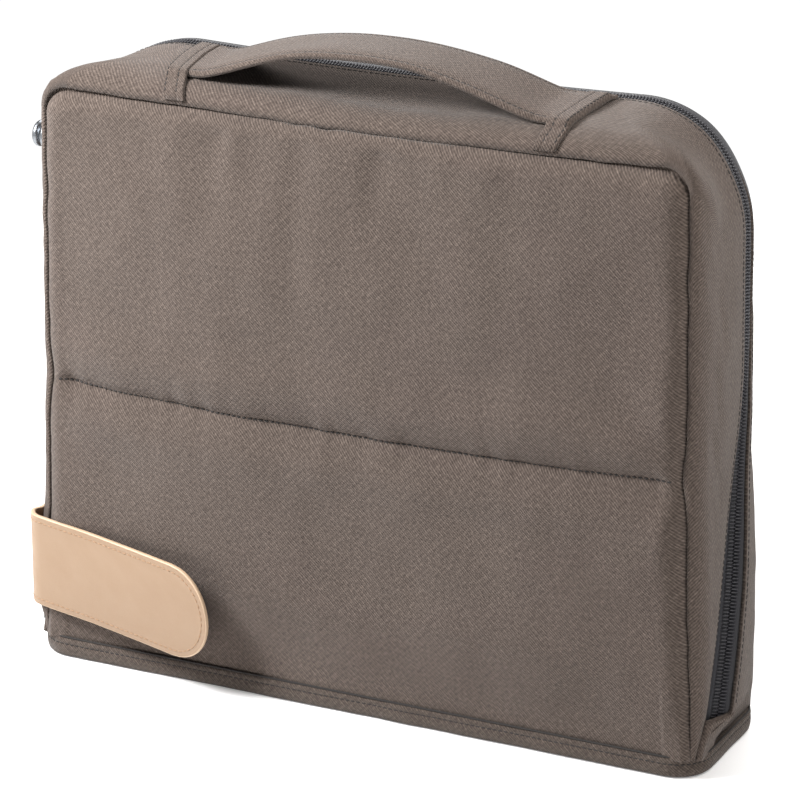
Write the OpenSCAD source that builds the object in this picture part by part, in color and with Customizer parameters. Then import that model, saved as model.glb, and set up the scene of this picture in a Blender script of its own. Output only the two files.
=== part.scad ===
// Boxy padded laptop bag. The front cover, with the top and the handle, opens forward
// along a zip that runs up both side walls and over the top.
// Frame: origin at the centre of the base's underside, +X to the wearer's right,
// front face towards -Y, +Z up. All sizes in millimetres.

/* [Bag] */
// Width across the side walls at the base
base_w = 341; // [310:1:350]
// Width across the side walls at the top
top_w = 329; // [306:1:335]
// Height of the top, without the handle
body_h = 296; // [280:1:310]
// Depth from the front face to the back face
depth = 78; // [74:1:86]
// Corner radius between the side walls and the top
top_corner_r = 32; // [26:1:40]
// Radius of the edge between the front and the top
front_edge_r = 9; // [8:1:12]
// Radius of the edge between the top and the back
back_edge_r = 20; // [14:1:20]
// Radius of the upright edges
side_edge_r = 9; // [8:1:10]
// Height of the binding around the base
band_h = 10; // [7:1:12]
// How far the binding stands proud of the walls
band_proud = 0.8; // [0.5:0.1:1.2]
// Height of the front fold line that the cover turns about
lip_h = 15; // [13:1:17]
// Height of the quilting seam across the front
quilt_seam_h = 139; // [120:1:160]

/* [Walls] */
// Thickness of the woven outer fabric
fabric_t = 1.2; // [1.0:0.1:1.4]
// Thickness of the foam padding
foam_t = 3.8; // [3:0.1:4.5]
// Thickness of the lining
lining_t = 0.8; // [0.5:0.1:1.0]
// Depth of front and back panel that wraps onto the sides
panel_return = 5; // [4:0.5:7]

/* [Zip] */
// Height of the zip's lower ends
zip_end_h = 27; // [25:1:30]
// Distance of the zip behind the front face at its lower ends
zip_low = 18; // [17:1:25]
// Backward lean of the straight lower stretch, in degrees
zip_lean = 15.8; // [14:0.1:17]
// Height at which the straight stretch ends
zip_straight_h = 148; // [110:1:160]
// Distance of the zip behind the front face along the top
zip_top = 60; // [55:1:61]
// Width of the zip showing between the fabric edges
zip_band = 11; // [10:0.5:12]
// Width of each row of coil teeth
coil_w = 2.8; // [2.4:0.1:3.2]
// Gap between the two rows that the slider's post runs in
coil_gap = 1.5; // [1.4:0.1:1.6]

/* [Handle] */
// Length of the arched stretch of the strap
handle_span = 164; // [150:1:200]
// Width of the strap
handle_w = 37; // [32:1:38]
// Height of the finger gap under the strap
handle_rise = 17; // [14:1:26]
// Thickness of each of the strap's two layers
handle_layer_t = 1.4; // [1.0:0.1:1.6]
// Width of the strip sewn across each end of the strap
anchor_w = 12; // [10:1:14]

/* [Belt] */
// Height of the belt's lower edge
belt_low = 22; // [18:1:26]
// Width of the belt
belt_w = 46; // [40:1:47]
// Length of the belt in front of the bag
belt_reach = 98; // [70:1:105]
// Angle at which the free end stands off the front, in degrees
belt_lift = 9; // [4:1:10]
// Thickness of the face leather
belt_face_t = 1.2; // [1.0:0.1:1.4]
// Thickness of the backing leather
belt_back_t = 1.0; // [0.8:0.1:1.2]

/* [Hidden] */

front = -depth / 2;
back = depth / 2;
margin = 20;             // how far a cutting shape reaches past the bag
split_gap = 0.3;         // clearance between pieces that move apart
padding_in = fabric_t + foam_t;
lining_in = padding_in + lining_t;
arc_steps = 8;
side_lean = atan((base_w - top_w) / 2 / body_h);

fabric = "#766A62";
fabric_dark = "#5C534C";
foam_colour = "#D8D4CC";
lining_colour = "#8C8880";
charcoal = "#2F2F34";
tan_leather = "#D6B494";
gunmetal = "#6E7276";

// Half the bag's width at height z
function half_w(z) = base_w / 2 - (base_w - top_w) / 2 * z / body_h;

// Points of a circular arc about centre c
function arc(c, r, start, end) =
    [for (i = [0:arc_steps]) let (a = start + (end - start) * i / arc_steps)
        [c[0] + r * cos(a), c[1] + r * sin(a)]];

function reversed(points) = [for (i = [len(points) - 1:-1:0]) points[i]];

// ---- The zip's line on the side walls: straight, then an arc that turns upright ----
zip_bend_y = zip_low + tan(zip_lean) * (zip_straight_h - zip_end_h);
zip_bend_r = (zip_top - zip_bend_y) / (1 - cos(zip_lean));
zip_bend_end_h = zip_straight_h + zip_bend_r * sin(zip_lean);
zip_bend_heights = [for (i = [0:arc_steps])
    zip_straight_h + (zip_bend_end_h - zip_straight_h) * i / arc_steps];

function zip_y(z) =
    z < zip_straight_h ? front + zip_low + tan(zip_lean) * (z - zip_end_h)
    : z >= zip_bend_end_h ? front + zip_top
    : front + zip_bend_y - zip_bend_r * cos(zip_lean)
        + sqrt(pow(zip_bend_r, 2) - pow(zip_bend_end_h - z, 2));

// Points [y, z] of the zip's line, moved back by shift, from height low upwards
function zip_line(shift, low) = concat(
    [[zip_y(low) + shift, low]],
    [for (z = zip_bend_heights) [zip_y(z) + shift, z]],
    [[front + zip_top + shift, body_h + margin]]);

// ---- Extrusions along the axes: x and y of the outline become Y,Z or X,Z ----
module extrude_x(w) {
    rotate([90, 0, 90]) linear_extrude(w, center = true) children();
}

module extrude_y(d) {
    rotate([90, 0, 0]) linear_extrude(d, center = true) children();
}

// ---- The bag's outer form, moved inwards by inset ----
module front_outline(inset) {
    centre_h = body_h - top_corner_r;
    centre_x = half_w(centre_h) - top_corner_r / cos(side_lean);
    foot_x = half_w(inset) - inset / cos(side_lean);
    polygon(concat(
        [[-foot_x, inset], [foot_x, inset]],
        arc([centre_x, centre_h], top_corner_r - inset, side_lean, 90),
        arc([-centre_x, centre_h], top_corner_r - inset, 90, 180 - side_lean)));
}

module side_outline(inset) {
    polygon(concat(
        [[front + inset, inset], [back - inset, inset]],
        arc([back - back_edge_r, body_h - back_edge_r], back_edge_r - inset, 0, 90),
        arc([front + front_edge_r, body_h - front_edge_r], front_edge_r - inset, 90, 180)));
}

module plan_outline(inset) {
    x = base_w / 2 - side_edge_r;
    y = back - side_edge_r;
    r = side_edge_r - inset;
    polygon(concat(arc([x, y], r, 0, 90), arc([-x, y], r, 90, 180),
        arc([-x, -y], r, 180, 270), arc([x, -y], r, 270, 360)));
}

module block(inset) {
    intersection() {
        extrude_y(depth + margin) front_outline(inset);
        extrude_x(base_w + margin) side_outline(inset);
        translate([0, 0, -margin]) linear_extrude(body_h + 2 * margin) plan_outline(inset);
    }
}

// The wall between two depths under the outer surface
module layer(outer, inner) {
    difference() {
        block(outer);
        block(inner);
    }
}

// ---- Regions that divide the walls ----
// The moving cover: in front of the zip by gap, above height low
module cover_region(gap, low = lip_h + split_gap) {
    extrude_x(base_w + 2 * margin) polygon(concat(
        [[front - margin, low]], zip_line(-gap, low), [[front - margin, body_h + margin]]));
}

// The fixed body: behind the zip by gap, and everything below the fold line
module body_region(gap) {
    extrude_x(base_w + 2 * margin) polygon(concat(
        [[back + margin, -margin], [front - margin, -margin], [front - margin, lip_h]],
        zip_line(gap, lip_h), [[back + margin, body_h + margin]]));
}

// The strip between two shifts of the zip's line
module zip_strip(from, to, low) {
    extrude_x(base_w + 2 * margin) polygon(concat(zip_line(to, low), reversed(zip_line(from, low))));
}

module depth_range(from, to) {
    translate([-base_w, from, -margin]) cube([2 * base_w, to - from, body_h + 2 * margin]);
}

module height_range(from, to) {
    translate([-base_w, -depth, from]) cube([2 * base_w, 2 * depth, to - from]);
}

module width_range(from, to) {
    translate([from, -depth, -margin]) cube([to - from, 2 * depth, body_h + 2 * margin]);
}

front_return = front + panel_return;
back_return = back - panel_return;
fabric_gap = zip_band / 2;
padding_gap = fabric_gap + 1;      // padding and lining stop short of the zip

// ---- Front cover ----
module front_panel() {
    color(fabric) intersection() {
        layer(0, fabric_t);
        cover_region(fabric_gap);
        depth_range(front - margin, front_return);
    }
}

module cover_gusset() {
    color(fabric) intersection() {
        layer(0, fabric_t);
        cover_region(fabric_gap);
        depth_range(front_return, back);
    }
}

module front_foam(low, high) {
    color(foam_colour) intersection() {
        layer(fabric_t, padding_in);
        cover_region(padding_gap);
        depth_range(front, front_return);
        height_range(low, high);
    }
}

quilt_channel = 3;      // the foam is left out along the quilting seam
module front_foam_upper() { front_foam(quilt_seam_h + quilt_channel / 2, body_h); }
module front_foam_lower() { front_foam(0, quilt_seam_h - quilt_channel / 2); }

module cover_gusset_foam() {
    color(foam_colour) intersection() {
        layer(fabric_t, padding_in);
        cover_region(padding_gap);
        depth_range(front_return, back);
    }
}

module cover_lining() {
    color(lining_colour) intersection() {
        layer(padding_in, lining_in);
        cover_region(padding_gap);
    }
}

// ---- Zip tapes and coils ----
tape_outer = 0.3;       // depth of the tape's outer face under the fabric's surface
tape_inner = 1.0;
coil_proud = 0.9;       // how far the coil stands above the fabric's surface
zip_start_h = zip_end_h + 0.4;

module zip_tape(from, to) {
    color(charcoal) intersection() {
        layer(tape_outer, tape_inner);
        zip_strip(from, to, zip_start_h);
        height_range(zip_start_h, body_h + margin);
    }
}

module zip_coil(from, to) {
    color(charcoal) intersection() {
        layer(-coil_proud, tape_outer);
        zip_strip(from, to, zip_start_h);
        height_range(zip_start_h, body_h + margin);
    }
}

coil_near = coil_gap / 2;
coil_far = coil_near + coil_w;
module cover_zip_tape() { zip_tape(-fabric_gap, -coil_near); }
module cover_zip_coil() { zip_coil(-coil_far, -coil_near); }
module body_zip_tape() { zip_tape(coil_near, fabric_gap); }
module body_zip_coil() { zip_coil(coil_near, coil_far); }

// Fabric patch that closes the band below each zip end
module zip_end(x_from, x_to) {
    color(fabric) intersection() {
        layer(0, fabric_t);
        zip_strip(-fabric_gap + split_gap, fabric_gap, lip_h);
        height_range(lip_h, zip_end_h);
        width_range(x_from, x_to);
    }
}

module zip_end_left() { zip_end(-base_w, 0); }
module zip_end_right() { zip_end(0, base_w); }

// ---- Handle ----
strap_inner_r = (pow(handle_span / 2, 2) + pow(handle_rise, 2)) / (2 * handle_rise);
strap_centre_h = body_h + handle_rise - strap_inner_r;
strap_front = front + front_edge_r + 1;

module strap_layer(inner_r, outer_r) {
    color(fabric) intersection() {
        translate([0, strap_front + handle_w / 2, strap_centre_h]) rotate([90, 0, 0]) difference() {
            cylinder(h = handle_w, r = outer_r, center = true, $fn = 240);
            cylinder(h = handle_w + 2, r = inner_r, center = true, $fn = 240);
        }
        height_range(body_h, body_h + 2 * handle_rise);
    }
}

strap_mid_r = strap_inner_r + handle_layer_t;
module handle_strap_lining() { strap_layer(strap_inner_r, strap_mid_r); }
module handle_strap() { strap_layer(strap_mid_r, strap_mid_r + handle_layer_t); }

// Strip sewn across a strap end, over the top edge and down to the front seam
anchor_t = 1.8;
anchor_drop = 13;
anchor_inner_x = handle_span / 2 + 7;

module handle_anchor(x_from) {
    color(fabric_dark) intersection() {
        layer(-anchor_t, 0);
        cover_region(fabric_gap);
        width_range(x_from, x_from + anchor_w);
        height_range(body_h - anchor_drop, body_h + margin);
    }
}

module handle_anchor_left() { handle_anchor(-anchor_inner_x - anchor_w); }
module handle_anchor_right() { handle_anchor(anchor_inner_x); }

// ---- Snap stud high on the left wall ----
// Places children on the left wall: local +Z points out of it, local +X up along it
module on_left_wall(y, z) {
    translate([-half_w(z), y, z]) rotate([0, side_lean - 90, 0]) children();
}

stud_y = front + 15;
stud_h = 257;
stud_r = 6.8;
stud_flange_t = 1.6;
stud_neck_r = 3.4;
stud_head_r = 5;
stud_reach = 5.2;
washer_t = 1.2;

module snap_stud() {
    color(gunmetal) on_left_wall(stud_y, stud_h) {
        cylinder(h = stud_flange_t, r = stud_r, $fn = 96);
        cylinder(h = stud_reach, r = stud_neck_r, $fn = 96);
        translate([0, 0, stud_reach - 1.8]) cylinder(h = 1.8, r = stud_head_r, $fn = 96);
    }
}

module snap_washer() {
    color(gunmetal) on_left_wall(stud_y, stud_h) translate([0, 0, -lining_in - washer_t])
        cylinder(h = washer_t, r = stud_r, $fn = 96);
}

// ---- Leather belt around the lower left corner ----
belt_clear = 0.4;                        // gap between the belt and the bag
belt_in_r = side_edge_r + belt_clear;
belt_mid_r = belt_in_r + belt_back_t;
belt_out_r = belt_mid_r + belt_face_t;
belt_centre = [side_edge_r - base_w / 2, front + side_edge_r];     // as the corner's
belt_hinge_y = front + side_edge_r + 0.5;
root_patch_t = 2.2;

// Plan path of the belt at radius r: along the wall, round the corner, along the front
function belt_path(r) = concat(
    [[belt_centre[0] - r, belt_hinge_y - split_gap]],
    arc(belt_centre, r, 180, 270 - belt_lift),
    [[belt_centre[0] - r * sin(belt_lift) + belt_reach * cos(belt_lift),
      belt_centre[1] - r * cos(belt_lift) - belt_reach * sin(belt_lift)]]);

module belt_strip(inner_r, outer_r) {
    tip_x = belt_centre[0] - outer_r * sin(belt_lift) + belt_reach * cos(belt_lift);
    end_r = belt_w / 2;
    color(tan_leather) intersection() {
        translate([0, 0, belt_low]) linear_extrude(belt_w)
            polygon(concat(belt_path(outer_r), reversed(belt_path(inner_r))));
        extrude_y(4 * depth) union() {
            translate([-base_w, belt_low]) square([base_w + tip_x - end_r, belt_w]);
            translate([tip_x - end_r, belt_low + end_r]) circle(r = end_r, $fn = 96);
        }
    }
}

module belt_face() { belt_strip(belt_mid_r, belt_out_r); }
module belt_backing() { belt_strip(belt_in_r, belt_mid_r); }

// Part of the belt sewn flat on the cover's left gusset, behind the bend
module belt_root_patch() {
    color(tan_leather) intersection() {
        layer(-root_patch_t, 0);
        cover_region(fabric_gap + 1);
        depth_range(belt_hinge_y + split_gap, back);
        height_range(belt_low, belt_low + belt_w);
        width_range(-base_w, 0);
    }
}

socket_r = 6.5;
socket_t = 3;
socket_wall = 2;
socket_along = belt_reach - 18;

// Socket on the belt's inner face, near the free end, that snaps onto the stud
module snap_socket() {
    color(gunmetal) translate([belt_centre[0], belt_centre[1], belt_low + belt_w / 2])
        rotate([0, 0, -belt_lift]) translate([socket_along, -belt_in_r, 0]) rotate([-90, 0, 0])
        difference() {
            cylinder(h = socket_t, r = socket_r, $fn = 96);
            translate([0, 0, 1]) cylinder(h = socket_t, r = socket_r - socket_wall, $fn = 96);
        }
}

// ---- Fixed body ----
module back_panel() {
    color(fabric) intersection() {
        layer(0, fabric_t);
        body_region(fabric_gap);
        depth_range(back_return, back + margin);
        height_range(fabric_t, body_h + margin);
    }
}

module body_gusset() {
    color(fabric) intersection() {
        layer(0, fabric_t);
        body_region(fabric_gap);
        depth_range(front_return, back_return);
        height_range(fabric_t, body_h + margin);
    }
}

module front_lip() {
    color(fabric) intersection() {
        layer(0, fabric_t);
        depth_range(front - margin, front_return);
        height_range(fabric_t, lip_h);
    }
}

module body_foam() {
    color(foam_colour) intersection() {
        layer(fabric_t, padding_in);
        body_region(padding_gap);
        height_range(padding_in, body_h);
    }
}

module body_lining() {
    color(lining_colour) intersection() {
        layer(padding_in, lining_in);
        body_region(padding_gap);
    }
}

module base_panel() {
    color(fabric) intersection() {
        block(0);
        height_range(-1, fabric_t);
    }
}

module base_board() {
    color("#3C3834") intersection() {
        block(fabric_t);
        height_range(0, padding_in);
    }
}

module base_band() {
    color(fabric_dark) intersection() {
        layer(-band_proud, 0);
        height_range(0, band_h);
    }
}

// ---- Inside ----
laptop_space = 20;
divider_t = 4;
divider_top = 190;
divider_back = back - lining_in - laptop_space;
divider_front = divider_back - divider_t;
pocket_t = 1;
pocket_half_w = 110;
pocket_low = 20;
pocket_top = 150;

// Padded wall that keeps the laptop against the back
module laptop_divider() {
    color(lining_colour) intersection() {
        block(lining_in + 0.5);
        depth_range(divider_front, divider_back);
        height_range(lining_in, divider_top);
    }
}

module slip_pocket() {
    color(lining_colour) translate([-pocket_half_w, divider_front - pocket_t, pocket_low])
        cube([2 * pocket_half_w, pocket_t, pocket_top - pocket_low]);
}

// ---- Slider and puller at the zip's lower left end ----
slider_h = 33;
slider_half_len = 5.5;
slider_half_w = 4.5;
slider_plate_t = 1.1;
slider_out = coil_proud + 0.35;          // inner face of the outer plate
slider_in = -fabric_t - 0.3;             // outer face of the inner plate
slider_top = slider_out + slider_plate_t;
bar_r = 0.6;
bar_reach = slider_top + 1.45;
ear_in = 2.2;
ear_t = 0.8;
eye_r = 1.15;
eye_bore_r = 0.75;
puller_t = 1.0;
puller_len = 22;
puller_half_w = 3;

module at_slider() {
    on_left_wall(zip_y(slider_h), slider_h) rotate([0, 0, zip_lean]) children();
}

module slider_plate(from) {
    translate([-slider_half_len, -slider_half_w, from])
        cube([2 * slider_half_len, 2 * slider_half_w, slider_plate_t]);
}

module zip_slider() {
    color(gunmetal) at_slider() {
        slider_plate(slider_out);
        slider_plate(slider_in - slider_plate_t);
        translate([2.4, -0.4, slider_in - 0.1]) cube([2.6, 0.8, slider_out - slider_in + 0.2]);
        for (y = [-ear_in - ear_t, ear_in])
            translate([-1.2, y, slider_top - 0.1]) cube([2.4, ear_t, bar_reach - slider_top + 0.9]);
        translate([0, 0, bar_reach]) rotate([90, 0, 0])
            cylinder(h = 2 * ear_in + ear_t, r = bar_r, center = true, $fn = 48);
    }
}

module zip_puller() {
    neck_half_w = ear_in - 0.2;
    color(gunmetal) at_slider() translate([0, 0, bar_reach]) difference() {
        union() {
            rotate([90, 0, 0]) cylinder(h = 2 * neck_half_w, r = eye_r, center = true, $fn = 48);
            translate([-2.6, -neck_half_w, -puller_t / 2]) cube([2.6, 2 * neck_half_w, puller_t]);
            translate([-puller_len, -puller_half_w, -puller_t / 2])
                cube([puller_len - 2.4, 2 * puller_half_w, puller_t]);
        }
        rotate([90, 0, 0]) cylinder(h = 4 * ear_in, r = eye_bore_r, center = true, $fn = 48);
        translate([-puller_len + 4, 0, -puller_t]) cylinder(h = 2 * puller_t, r = 1.4, $fn = 48);
    }
}

front_panel();
cover_gusset();
front_foam_upper();
front_foam_lower();
cover_gusset_foam();
cover_lining();
cover_zip_tape();
cover_zip_coil();
handle_strap();
handle_strap_lining();
handle_anchor_left();
handle_anchor_right();
snap_stud();
snap_washer();
belt_root_patch();
back_panel();
body_gusset();
front_lip();
body_foam();
body_lining();
body_zip_tape();
body_zip_coil();
zip_end_left();
zip_end_right();
base_panel();
base_board();
base_band();
laptop_divider();
slip_pocket();
belt_face();
belt_backing();
snap_socket();
zip_slider();
zip_puller();
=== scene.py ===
"""Looks for the padded laptop bag: quilted front, gussets, zip, strap handle, leather belt.

Sizes are in millimetres and turned into metres where a mesh is made. x runs across the bag,
y from the front (negative) to the back, z up, as in the frame.
"""

import math

import bmesh
import bpy
import numpy as np
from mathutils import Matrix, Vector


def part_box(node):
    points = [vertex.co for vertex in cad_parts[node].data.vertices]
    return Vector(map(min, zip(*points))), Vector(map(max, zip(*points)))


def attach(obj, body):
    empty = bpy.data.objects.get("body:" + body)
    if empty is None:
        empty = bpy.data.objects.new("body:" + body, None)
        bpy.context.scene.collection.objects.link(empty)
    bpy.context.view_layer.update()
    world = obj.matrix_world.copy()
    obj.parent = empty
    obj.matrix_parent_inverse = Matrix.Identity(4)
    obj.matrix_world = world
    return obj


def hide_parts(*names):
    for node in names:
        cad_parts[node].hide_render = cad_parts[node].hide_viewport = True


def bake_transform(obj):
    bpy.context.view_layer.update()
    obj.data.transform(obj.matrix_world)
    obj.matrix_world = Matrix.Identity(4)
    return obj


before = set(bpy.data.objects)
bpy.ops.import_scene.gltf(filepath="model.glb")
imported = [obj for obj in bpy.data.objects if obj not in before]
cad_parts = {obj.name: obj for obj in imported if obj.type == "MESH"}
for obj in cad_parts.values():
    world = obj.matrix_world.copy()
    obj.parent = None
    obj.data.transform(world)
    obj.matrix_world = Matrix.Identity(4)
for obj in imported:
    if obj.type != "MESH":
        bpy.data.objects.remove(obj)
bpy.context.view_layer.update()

MM = 0.001

# ---- The bag's driving sizes, from the frame ----
base_low, base_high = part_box("base_panel")
BASE_W = (base_high.x - base_low.x) / MM
FRONT = base_low.y / MM
BACK = base_high.y / MM
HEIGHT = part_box("cover_gusset")[1].z / MM
BAND_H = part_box("base_band")[1].z / MM
ZIP_END_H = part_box("zip_end_right")[1].z / MM
QUILT_H = (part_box("front_foam_lower")[1].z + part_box("front_foam_upper")[0].z) / 2 / MM
ZIP_TOP_Y = (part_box("cover_zip_coil")[1].y + 0.00075) / MM
TOP_W = BASE_W - 12             # the walls lean in by half of this towards the top

WALL_T = 5.8                    # fabric, padding and lining together
EDGE_T = 1.6                    # fabric folded at the zip
ZIP_HALF = 5.5                  # half of the zip's visible band
FOOT_H = BAND_H - 1.0           # walls start just inside the base binding
SEAM_Y = FRONT + 3.0            # seam between the front panel and the gusset
BACK_SEAM_IN = 2.5              # the back seam lies this far inside the back
BACK_SEAM_Y = BACK - BACK_SEAM_IN
SEAM_CORNER_R = 12.0
ZIP_CORNER_R = 54.0
TOP_SAG = 3.5                   # the soft top hangs down this much at mid-width

# The zip's line on the side walls: straight and leaning back, then bending upright
ZIP_LEAN = math.radians(15.8)
ZIP_LOW_Y = FRONT + 18.0
ZIP_STRAIGHT_H = 148.0
ZIP_BEND_Y = ZIP_LOW_Y + math.tan(ZIP_LEAN) * (ZIP_STRAIGHT_H - ZIP_END_H)
ZIP_BEND_R = (ZIP_TOP_Y - ZIP_BEND_Y) / (1 - math.cos(ZIP_LEAN))
ZIP_BEND_END_H = ZIP_STRAIGHT_H + ZIP_BEND_R * math.sin(ZIP_LEAN)


def zip_y(z):
    """Depth of the zip's centre line at height z on a side wall."""
    z = np.asarray(z, float)
    straight = ZIP_LOW_Y + math.tan(ZIP_LEAN) * (z - ZIP_END_H)
    rise = np.clip(ZIP_BEND_END_H - z, 0, ZIP_BEND_R)
    bend = ZIP_BEND_Y - ZIP_BEND_R * math.cos(ZIP_LEAN) + np.sqrt(ZIP_BEND_R ** 2 - rise ** 2)
    return np.where(z < ZIP_STRAIGHT_H, straight, bend)


def zip_depth(z):
    """Depth of the zip's centre line where the outline is at height z, level along the top."""
    return zip_y(np.where(z > HEIGHT * 0.8, HEIGHT, z))


def half_width(z):
    """Half of the bag's width at height z."""
    return BASE_W / 2 - (BASE_W - TOP_W) / 2 * z / HEIGHT


def smooth(t):
    """An eased step: 0 up to t = 0 and 1 from t = 1."""
    t = np.clip(t, 0, 1)
    return t * t * (3 - 2 * t)


def smooth_noise(u, v, seed, octaves=2):
    """Seeded value noise of unit cells, about -1 to 1, for arrays u and v."""
    total = np.zeros(np.broadcast(u, v).shape)
    size = 1.0
    for octave in range(octaves):
        rng = np.random.default_rng(seed + octave)
        grid = rng.uniform(-1, 1, (64, 64))
        gu = np.asarray(u) * size
        gv = np.asarray(v) * size
        iu = np.floor(gu).astype(int)
        iv = np.floor(gv).astype(int)
        fu = smooth(gu - iu)
        fv = smooth(gv - iv)
        a = grid[iu % 64, iv % 64] * (1 - fu) + grid[(iu + 1) % 64, iv % 64] * fu
        b = grid[iu % 64, (iv + 1) % 64] * (1 - fu) + grid[(iu + 1) % 64, (iv + 1) % 64] * fu
        total += (a * (1 - fv) + b * fv) / size
        size *= 2
    return total


# ---- The outline of the bag seen from the front ----
CORNER_SHARE = 0.085            # share of the outline's length taken by each top corner
SIDE_SHARE = 0.29


def outline(share, inset_side, inset_top, corner_r, foot=FOOT_H):
    """x and z at share 0..1 of the way from the left foot over the top to the right foot."""
    share = np.asarray(share, float)
    mirrored = np.where(share > 0.5, 1 - share, share)
    side = np.where(share > 0.5, 1.0, -1.0)
    top_z = HEIGHT - inset_top
    corner_z = top_z - corner_r
    corner_x = half_width(corner_z) - inset_side - corner_r
    up = np.clip(mirrored / SIDE_SHARE, 0, 1)
    turn = np.clip((mirrored - SIDE_SHARE) / CORNER_SHARE, 0, 1) * math.pi / 2
    across = np.clip((mirrored - SIDE_SHARE - CORNER_SHARE) / (0.5 - SIDE_SHARE - CORNER_SHARE), 0, 1)
    z_side = foot + up * (corner_z - foot)
    x = np.where(mirrored < SIDE_SHARE, half_width(z_side) - inset_side,
                 (corner_x + corner_r * np.cos(turn)) * (1 - across))
    z = np.where(mirrored < SIDE_SHARE, z_side, corner_z + corner_r * np.sin(turn))
    return x * side, z


def sag(x, z):
    """How far the soft top hangs down at x; it fades out down the walls."""
    across = np.clip(1 - (2 * x / BASE_W) ** 2, 0, 1) ** 1.5
    return TOP_SAG * across * smooth((z - 0.75 * HEIGHT) / (0.25 * HEIGHT))


# ---- Mesh helpers ----
def link(mesh, name):
    obj = bpy.data.objects.new(name, mesh)
    bpy.context.scene.collection.objects.link(obj)
    return obj


def build(name, verts, faces, uvs=None, face_slots=None, materials=()):
    """A mesh from millimetre points; uvs holds one (u, v) in millimetres for each vertex."""
    mesh = bpy.data.meshes.new(name)
    mesh.from_pydata((np.asarray(verts) * MM).tolist(), [], [list(map(int, f)) for f in faces])
    for material in materials:
        mesh.materials.append(material)
    if uvs is not None:
        layer = mesh.uv_layers.new(name="UVMap")
        corner = np.zeros(len(mesh.loops), int)
        mesh.loops.foreach_get("vertex_index", corner)
        layer.data.foreach_set("uv", (np.asarray(uvs)[corner] * MM).astype(np.float32).ravel())
    if face_slots is not None:
        mesh.polygons.foreach_set("material_index", np.asarray(face_slots, np.int32))
    mesh.polygons.foreach_set("use_smooth", np.ones(len(mesh.polygons), bool))
    mesh.update()
    return link(mesh, name)


def grid_faces(rows, columns, offset=0, flip=False):
    i, j = np.meshgrid(np.arange(rows - 1), np.arange(columns - 1), indexing="ij")
    a = (i * columns + j).ravel() + offset
    quads = np.stack([a, a + 1, a + columns + 1, a + columns], 1)
    return quads[:, ::-1] if flip else quads


def grid_normals(points):
    """Unit normals of a (rows, columns, 3) grid, by finite differences."""
    du = np.gradient(points, axis=0)
    dv = np.gradient(points, axis=1)
    n = np.cross(du, dv)
    return n / np.maximum(np.linalg.norm(n, axis=2, keepdims=True), 1e-9)


def grid_uv(points):
    """Distances along the middle column and across each row, as u and v for every grid point."""
    rows, columns = points.shape[:2]
    u_steps = np.linalg.norm(np.diff(points[:, columns // 2], axis=0), axis=1)
    v_steps = np.linalg.norm(np.diff(points, axis=1), axis=2)
    u = np.concatenate([[0], np.cumsum(u_steps)])[:, None] * np.ones((1, columns))
    v = np.concatenate([np.zeros((rows, 1)), np.cumsum(v_steps, axis=1)], axis=1)
    return np.stack([u, v], 2)


def border_loop(rows, columns):
    """Indices of a grid's border vertices, once round."""
    right = columns * np.arange(1, rows) + columns - 1
    last = (rows - 1) * columns + np.arange(columns - 2, -1, -1)
    left = columns * np.arange(rows - 2, 0, -1)
    return np.concatenate([np.arange(columns), right, last, left])


def shell(name, outer, thickness, outward, materials, uv=None):
    """A closed panel: the outer grid, a copy thickness further in, and rims between them.
    materials are the outer cloth, the lining and the rim."""
    rows, columns = outer.shape[:2]
    n = grid_normals(outer)
    middle = n[rows // 2, columns // 2]
    sign = 1.0 if float(np.dot(middle, outward)) > 0 else -1.0
    inner = outer - sign * n * np.broadcast_to(thickness, (rows, columns))[..., None]
    verts = np.concatenate([outer.reshape(-1, 3), inner.reshape(-1, 3)])
    if uv is None:
        uv = grid_uv(outer)
    uvs = np.concatenate([uv.reshape(-1, 2), uv.reshape(-1, 2)])
    count = rows * columns
    front_faces = grid_faces(rows, columns, 0, flip=sign < 0)
    back_faces = grid_faces(rows, columns, count, flip=sign > 0)
    loop = border_loop(rows, columns)
    after = np.roll(loop, -1)
    rim = np.stack([loop, after, after + count, loop + count], 1)
    if sign > 0:
        rim = rim[:, ::-1]
    faces = np.concatenate([front_faces, back_faces, rim])
    slots = np.concatenate([np.zeros(len(front_faces)), np.ones(len(back_faces)), np.full(len(rim), 2)])
    return build(name, verts, faces, uvs, slots, materials)


def tube(name, rings, materials, caps=True):
    """A mesh lofted through closed rings, an array (count, points, 3)."""
    count, points = rings.shape[:2]
    j = np.arange(points)
    faces = []
    for i in range(count - 1):
        a = i * points + j
        b = i * points + (j + 1) % points
        faces.append(np.stack([a, b, b + points, a + points], 1))
    faces = np.concatenate(faces).tolist()
    if caps:
        faces.append(list(range(points))[::-1])
        faces.append(list(range((count - 1) * points, count * points)))
    steps = np.linalg.norm(np.diff(rings.mean(1), axis=0), axis=1)
    u = np.concatenate([[0], np.cumsum(steps)])
    girth = np.concatenate([[0], np.cumsum(np.linalg.norm(np.diff(rings[count // 2], axis=0), axis=1))])
    uvs = np.stack(np.meshgrid(u, girth, indexing="ij"), 2).reshape(-1, 2)
    return build(name, rings.reshape(-1, 3), faces, uvs, None, materials)


CAPSULE_SIDES = 6
CAPSULE_RINGS = ((-1.0, 0.45), (-0.72, 0.9), (0.0, 1.0), (0.72, 0.9), (1.0, 0.45))


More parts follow.
